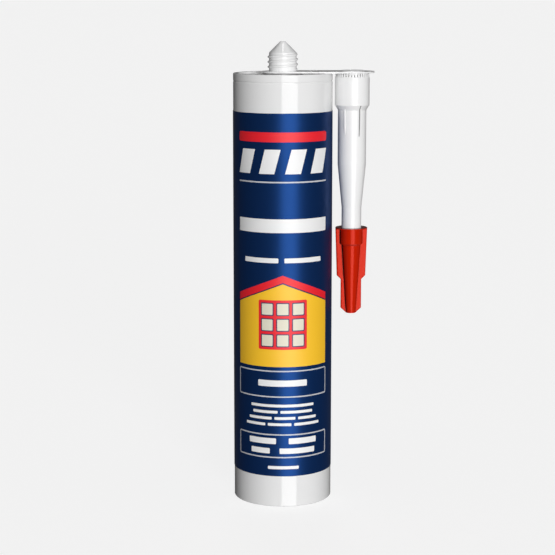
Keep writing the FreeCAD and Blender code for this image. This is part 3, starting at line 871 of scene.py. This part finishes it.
# %% Sizes of the cap
CAP_TOP = cap_high.z
CAP_LENGTH = cap_high.z - cap_low.z
FLANGE_RADIUS = (cap_high.x - cap_low.x) / 2
FLANGE_THICKNESS = 0.6 * MM
SOCKET_RADIUS = 5.6 * MM
SOCKET_LENGTH = 8.1 * MM
SLEEVE_RADIUS = 4.55 * MM
CAP_END_RADIUS = 2.4 * MM
WING_HALF = 0.7 * MM
WING_BOTTOM = 7.25 * MM
WING_SHOULDER = 24.6 * MM
WING_LOW = 5.22 * MM
WING_LOW_END = 41.3 * MM
WING_EDGE = 0.35 * MM
CAP_FIT = 0.1 * MM
CAP_END_GAP = 0.3 * MM
# Painted shade on the cap: its share on the right-hand fillets, and its strength on the flange's
# top and in the bore.
SHADE_RIGHT = 0.3
SHADE_MOUTH = 0.9


# %% One section of the cap
def quarter_section(tube, wing):
    """A quarter of the cap's section, from the end of a wing to the side of the tube.

    It runs straight across the wing's end, slopes over its edge, goes in along
    its side to a fillet, and follows the tube's circle to the quarter turn.
    """
    wing = max(wing, math.sqrt(tube ** 2 - WING_HALF ** 2) + 0.02 * MM)
    edge = min(WING_EDGE, (wing - tube) / 2 + 0.02 * MM)
    edge = max(edge, 0.02 * MM)
    fillet = min(0.35 * MM, (wing - tube) / 3 + 0.01 * MM)
    root = math.asin((WING_HALF + fillet) / (tube + fillet))
    centre = (tube + fillet) * np.array([math.cos(root), math.sin(root)])
    bend = np.linspace(0, 1, 6)[:, None]
    end = np.array([[wing, 0.0], [wing, WING_HALF - edge]])
    slope = np.array([[wing - 0.15 * edge, WING_HALF - 0.5 * edge],
                      [wing - 0.5 * edge, WING_HALF - 0.15 * edge],
                      [wing - edge, WING_HALF]])
    side = slope[-1] * (1 - bend[1:-1]) + np.array([centre[0], WING_HALF]) * bend[1:-1]
    down = -math.pi / 2 - (math.pi / 2 - root) * bend
    hollow = centre + fillet * np.concatenate([np.cos(down), np.sin(down)], axis=1)
    rest = root + (math.pi / 2 - root) * np.linspace(0, 1, 17)[1:, None]
    circle = tube * np.concatenate([np.cos(rest), np.sin(rest)], axis=1)
    return np.concatenate([end, slope, side, hollow, circle])


def whole_section(quarter):
    """Mirror a quarter of a section into a closed ring that runs anticlockwise."""
    left = (quarter * [-1, 1])[::-1][1:]
    lower = (np.concatenate([quarter, left]) * [1, -1])[::-1][1:-1]
    return np.concatenate([quarter, left, lower])


def section_shade():
    """Shade along one section: full in the fillets on the left, which face away from the light.

    The counts are those of quarter_section: nine points as far as the fillet,
    six along it and sixteen round the tube, where the shade fades out.
    """
    quarter = np.concatenate([np.zeros(9), np.ones(6), [0.9, 0.5], np.zeros(14)])
    right = quarter * SHADE_RIGHT
    upper = np.concatenate([right, quarter[::-1][1:]])
    return np.concatenate([upper, upper[::-1][1:-1]])


def round_section(like, radius):
    """A circle with its points at the same angles as another section's."""
    return like / np.linalg.norm(like, axis=1, keepdims=True) * radius


# %% The cap's skin
def cap_tube(depth):
    """Outer radius of the tube at a depth: a straight socket, a step and a long taper."""
    step = SOCKET_LENGTH + SOCKET_RADIUS - SLEEVE_RADIUS
    return np.interp(depth, [0, SOCKET_LENGTH, step, CAP_LENGTH],
                     [SOCKET_RADIUS, SOCKET_RADIUS, SLEEVE_RADIUS, CAP_END_RADIUS])


def cap_wing(depth):
    """Half width across the wings at a depth: two straight stretches with a slope after each."""
    slope = WING_SHOULDER + WING_BOTTOM - WING_LOW
    return np.interp(depth, [0, WING_SHOULDER, slope, WING_LOW_END, CAP_LENGTH],
                     [FLANGE_RADIUS, WING_BOTTOM, WING_LOW, WING_LOW, CAP_END_RADIUS])


def make_cap():
    """Stack the sections from the closed end up to the flange, then line the bore."""
    slope = WING_SHOULDER + WING_BOTTOM - WING_LOW
    step = SOCKET_LENGTH + SOCKET_RADIUS - SLEEVE_RADIUS
    marks = [CAP_LENGTH, CAP_LENGTH - 0.3 * MM, WING_LOW_END, slope, WING_SHOULDER, step,
             SOCKET_LENGTH]
    spans = [np.linspace(start, end, 5)[:-1] for start, end in zip(marks, marks[1:])]
    levels = np.concatenate(spans + [np.linspace(SOCKET_LENGTH, FLANGE_THICKNESS, 5)])
    rings = [(whole_section(quarter_section(float(cap_tube(depth)), float(cap_wing(depth)))), depth)
             for depth in levels]
    first, last = rings[0][0], rings[-1][0]
    rings = [(first * 0.5, CAP_LENGTH), (first * 0.93, CAP_LENGTH)] + rings
    flange = [(FLANGE_RADIUS - 0.05 * MM, FLANGE_THICKNESS),
              (FLANGE_RADIUS, FLANGE_THICKNESS * 0.8), (FLANGE_RADIUS, FLANGE_THICKNESS * 0.2),
              (FLANGE_RADIUS - 0.1 * MM, 0.0)]
    spout = SPIGOT_END + SPIGOT_RADIUS - SPOUT_RADIUS - (RIM_HEIGHT - CAP_TOP)
    bottom = NOZZLE_LENGTH + CAP_END_GAP - (RIM_HEIGHT - CAP_TOP)
    spigot = SPIGOT_END - (RIM_HEIGHT - CAP_TOP)
    lining = [(SPIGOT_RADIUS + CAP_FIT + 0.1 * MM, 0.0), (SPIGOT_RADIUS + CAP_FIT, 0.1 * MM),
              (SPIGOT_RADIUS + CAP_FIT, spigot + CAP_FIT),
              (SPOUT_RADIUS + CAP_FIT, spout + CAP_FIT),
              (OUTLET_RADIUS + CAP_FIT, bottom), (OUTLET_RADIUS / 2, bottom)]
    rings += [(round_section(last, radius), depth) for radius, depth in flange + lining]
    grid = np.stack([np.column_stack([NOZZLE_X + ring[:, 0], ring[:, 1],
                                      np.full(len(ring), CAP_TOP - depth)])
                     for ring, depth in rings])
    start = (NOZZLE_X, 0, CAP_TOP - CAP_LENGTH)
    end = (NOZZLE_X, 0, CAP_TOP - bottom)
    piece = closed_skin("cap_skin", grid, start, end, "cap")
    # Painted shade: the fillets beside the tube, lighter on the right, and the flange's top with
    # the bore inside it are darkened in colour.
    shade = np.zeros(grid.shape[:2])
    shade[2:2 + len(levels)] = section_shade()
    shade[5 + len(levels):] = SHADE_MOUTH
    store_painted_shade(piece, shade)
    return piece


cap = make_cap()
smooth(cap, 30)
cap.data.materials.append(RED)
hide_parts("nozzle_cap")

# %% [markdown]
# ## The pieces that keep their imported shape
# The strap, the piston and the sealant already have their true shape, so
# they only get a finish. Their flat and round faces meet at real corners,
# which stay as they are.

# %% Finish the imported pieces
for node, finish in (("nozzle_holder", NOZZLE_WHITE), ("piston", SOFT_WHITE),
                     ("sealant_fill", SEALANT)):
    mesh = NODES[node].data
    mesh.materials.clear()
    mesh.materials.append(finish)

# %% [markdown]
# ## Floor and light
# The photograph has a flat pale ground and no floor line. The floor here
# shows the camera mostly its own pale colour and keeps a faint shadow. The
# light is a broad soft key a little right of the camera, one overhead, one
# behind for the far side, and a weak even fill. Three cards show only in
# gloss: a tall bright one a little to the right, whose mirror image is the
# straight band down the shell, a dark one all round the rest, which gives
# the white pieces their dark edges, and a strip overhead for the cone.

# %% The floor
PALE = 0.888
FLOOR_SIZE = 80.0


def make_floor():
    """A very large square whose edge lies at the horizon."""
    corners = np.array([(-1, -1, 0), (1, -1, 0), (1, 1, 0), (-1, 1, 0)], float) * FLOOR_SIZE
    mesh = bpy.data.meshes.new("floor")
    mesh.from_pydata(corners.tolist(), [], [[0, 1, 2, 3]])
    floor = bpy.data.objects.new("floor", mesh)
    bpy.context.scene.collection.objects.link(floor)
    floor.visible_glossy = False
    floor.visible_shadow = False
    return floor


def seen_directly(nodes, links):
    """Give 1 to rays from the camera, also by way of gloss or glass, and 0 to all others."""
    path = nodes.new("ShaderNodeLightPath")
    total = path.outputs["Is Camera Ray"]
    for kind in ("Is Glossy Ray", "Is Transmission Ray"):
        both = nodes.new("ShaderNodeMath")
        both.operation = "MAXIMUM"
        links.new(total, both.inputs[0])
        links.new(path.outputs[kind], both.inputs[1])
        total = both.outputs["Value"]
    return total


def floor_finish(own_light, matt):
    """Show the camera a pale glow and a matt shade that takes the shadow, in fixed shares."""
    material = bpy.data.materials.new("pale_floor")
    material.use_nodes = True
    nodes, links = material.node_tree.nodes, material.node_tree.links
    nodes.remove(nodes["Principled BSDF"])
    glow = nodes.new("ShaderNodeEmission")
    glow.inputs["Color"].default_value = (1, 1, 1, 1)
    power = nodes.new("ShaderNodeMath")
    power.operation = "MULTIPLY"
    power.inputs[1].default_value = own_light
    links.new(seen_directly(nodes, links), power.inputs[0])
    links.new(power.outputs["Value"], glow.inputs["Strength"])
    shade = nodes.new("ShaderNodeBsdfDiffuse")
    shade.inputs["Color"].default_value = (matt, matt, matt, 1)
    both = nodes.new("ShaderNodeAddShader")
    links.new(glow.outputs["Emission"], both.inputs[0])
    links.new(shade.outputs["BSDF"], both.inputs[1])
    links.new(both.outputs["Shader"], nodes["Material Output"].inputs["Surface"])
    return material


floor = make_floor()
floor.data.materials.append(floor_finish(own_light=0.797, matt=0.25))


# %% The world
def make_world(ambient):
    """A weak even fill for matt faces that looks like the pale ground to all other rays."""
    world = bpy.data.worlds.new("studio")
    bpy.context.scene.world = world
    world.use_nodes = True
    nodes, links = world.node_tree.nodes, world.node_tree.links
    choose = nodes.new("ShaderNodeMapRange")
    choose.inputs["To Min"].default_value = ambient
    choose.inputs["To Max"].default_value = PALE
    links.new(seen_directly(nodes, links), choose.inputs["Value"])
    links.new(choose.outputs["Result"], nodes["Background"].inputs["Strength"])
    nodes["Background"].inputs["Color"].default_value = (1, 1, 1, 1)


make_world(ambient=0.115)


# %% Lamps and cards
CARD_COLUMNS = 33


def add_sun(name, azimuth, elevation, power, spread):
    """A distant lamp; azimuth counts from the camera's side towards the right, in degrees."""
    lamp = bpy.data.lights.new(name, "SUN")
    lamp.energy = power
    lamp.angle = math.radians(spread)
    lit = bpy.data.objects.new(name, lamp)
    bpy.context.scene.collection.objects.link(lit)
    side, rise = math.radians(azimuth), math.radians(elevation)
    lit.rotation_euler = (math.pi / 2 - rise, 0, side)
    lit.visible_glossy = False
    return lit


def add_card(name, low_azimuth, high_azimuth, distance, height, power):
    """A tall curved glowing card round the object that only gloss can see."""
    azimuth = np.radians(np.linspace(low_azimuth, high_azimuth, CARD_COLUMNS))
    x, y = distance * np.sin(azimuth), -distance * np.cos(azimuth)
    low = np.stack([x, y, np.full(CARD_COLUMNS, -height)], axis=-1)
    high = np.stack([x, y, np.full(CARD_COLUMNS, height)], axis=-1)
    quads = [[n, n + 1, n + 1 + CARD_COLUMNS, n + CARD_COLUMNS] for n in range(CARD_COLUMNS - 1)]
    return glossy_card(name, np.concatenate([low, high]), quads, power)


def add_strip(name, half_width, half_length, height, power):
    """A narrow flat strip overhead, from the camera's side to the far side."""
    corners = [(-half_width, -half_length, height), (half_width, -half_length, height),
               (half_width, half_length, height), (-half_width, half_length, height)]
    return glossy_card(name, np.array(corners), [[0, 1, 2, 3]], power)


def glossy_card(name, points, quads, power):
    """Make a card of even brightness that shows only in gloss and lights nothing else."""
    mesh = bpy.data.meshes.new(name)
    mesh.from_pydata(points.tolist(), [], quads)
    card = bpy.data.objects.new(name, mesh)
    bpy.context.scene.collection.objects.link(card)
    material = bpy.data.materials.new(name)
    material.use_nodes = True
    nodes, links = material.node_tree.nodes, material.node_tree.links
    nodes.remove(nodes["Principled BSDF"])
    glow = nodes.new("ShaderNodeEmission")
    glow.inputs["Strength"].default_value = power
    links.new(glow.outputs["Emission"], nodes["Material Output"].inputs["Surface"])
    card.data.materials.append(material)
    card.visible_camera = False
    card.visible_diffuse = False
    card.visible_shadow = False
    card.visible_transmission = False
    return card


add_sun("key", azimuth=15, elevation=4, power=2.7, spread=20)
add_sun("overhead", azimuth=0, elevation=80, power=0.35, spread=60)
add_sun("rear", azimuth=182, elevation=3, power=2.2, spread=24)
add_card("highlight_card", -2.6, 34, distance=3.0, height=4.0, power=4.0)
add_card("dark_surround", 35, 356.5, distance=3.1, height=4.0, power=0.08)
add_strip("overhead_strip", half_width=0.19, half_length=1.0, height=3.0, power=8.0)

# %% [markdown]
# ## The camera
# The camera stands where the photographer's stood: 833 mm in front of the
# barrel's axis, 2.6 mm to its left and 254 mm above the base, with a long
# lens. The photograph keeps its uprights parallel, which needs a sideways
# lens. Here the camera tips down a little instead, because a lens shift
# would push the object out of the other views.

# %% Place the camera
CAMERA_PLACE = (-2.63 * MM, -832.9 * MM, 254.1 * MM)
CAMERA_PITCH = math.radians(9.594)
SENSOR = 36.0
LENS = 107.7

camera_data = bpy.data.cameras.new("camera")
camera_data.sensor_width = SENSOR
camera_data.lens = LENS
camera = bpy.data.objects.new("camera", camera_data)
camera.location = CAMERA_PLACE
camera.rotation_euler = (math.pi / 2 - CAMERA_PITCH, 0, 0)
bpy.context.scene.collection.objects.link(camera)
bpy.context.scene.camera = camera
bpy.context.scene.view_settings.view_transform = "Standard"
